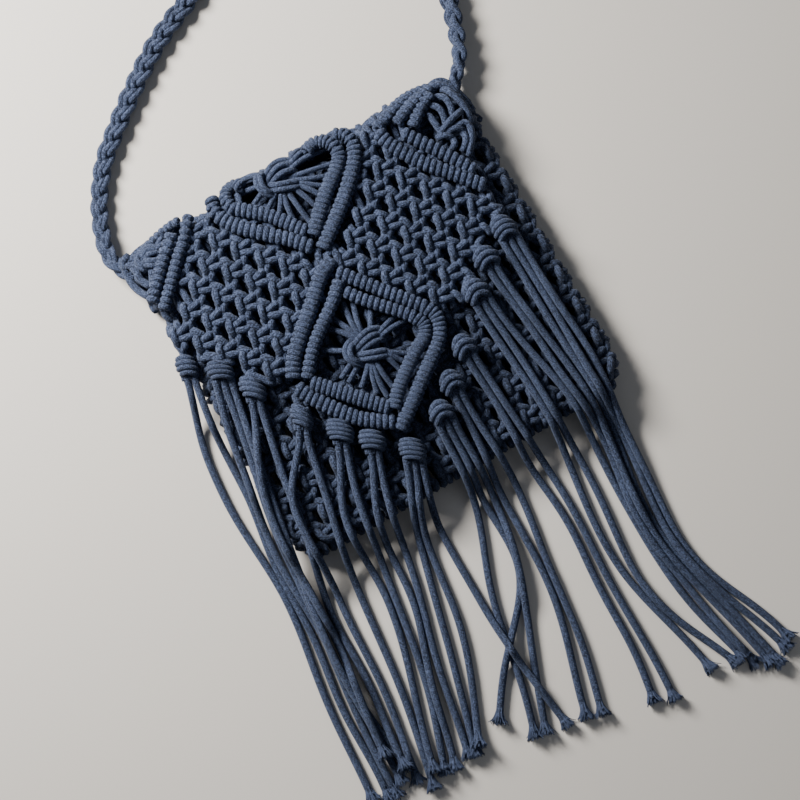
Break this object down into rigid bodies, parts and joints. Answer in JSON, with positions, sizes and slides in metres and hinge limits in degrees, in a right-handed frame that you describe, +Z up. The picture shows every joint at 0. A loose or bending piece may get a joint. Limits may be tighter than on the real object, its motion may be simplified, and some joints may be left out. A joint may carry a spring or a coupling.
{
  "type": "knotted crossbody bag",
  "caption": "Flat pouch of knotted cotton cord, lying on its back, with a V-shaped fringed flap of diamond bars and flower knots and a braided strap.",
  "frame": {"origin": "on the surface that the bag lies on, under the middle of everything but the strap", "axes": "+X across the bag, +Y from the fringe towards the strap, +Z up from the surface, out of the flap"},
  "size_m": [0.3273, 0.8219, 0.0403],
  "materials": {
    "net": "matte knotted cotton cord, navy blue",
    "bars": "matte wound cotton cord, navy blue",
    "fringe": "matte loose cotton cord with frayed ends, navy blue",
    "braid": "matte braided cotton cord, navy blue"
  },
  "bodies": {
    "root": {"bar_centre_lower_left_inner": "bars", "bar_centre_lower_left_outer": "bars", "bar_centre_lower_right_inner": "bars", "bar_centre_lower_right_outer": "bars", "bar_centre_upper_left_inner": "bars", "bar_centre_upper_left_outer": "bars", "bar_centre_upper_right_inner": "bars", "bar_centre_upper_right_outer": "bars", "bar_left_fold": "bars", "bar_left_lower_inner": "bars", "bar_left_lower_outer": "bars", "bar_middle_lower_left_inner": "bars", "bar_middle_lower_left_outer": "bars", "bar_middle_lower_right_inner": "bars", "bar_middle_lower_right_outer": "bars", "bar_right_fold": "bars", "bar_right_lower_inner": "bars", "bar_right_lower_outer": "bars", "flap": "net", "flower_centre": "bars", "flower_left": "bars", "flower_middle": "bars", "flower_right": "bars", "pouch": "net", "strap": "braid", "tassel_01": "fringe", "tassel_02": "fringe", "tassel_03": "fringe", "tassel_04": "fringe", "tassel_05": "fringe", "tassel_06": "fringe", "tassel_07": "fringe", "tassel_08": "fringe", "tassel_09": "fringe", "tassel_10": "fringe", "tassel_11": "fringe", "tassel_12": "fringe", "tassel_13": "fringe"}
  },
  "joints": []
}
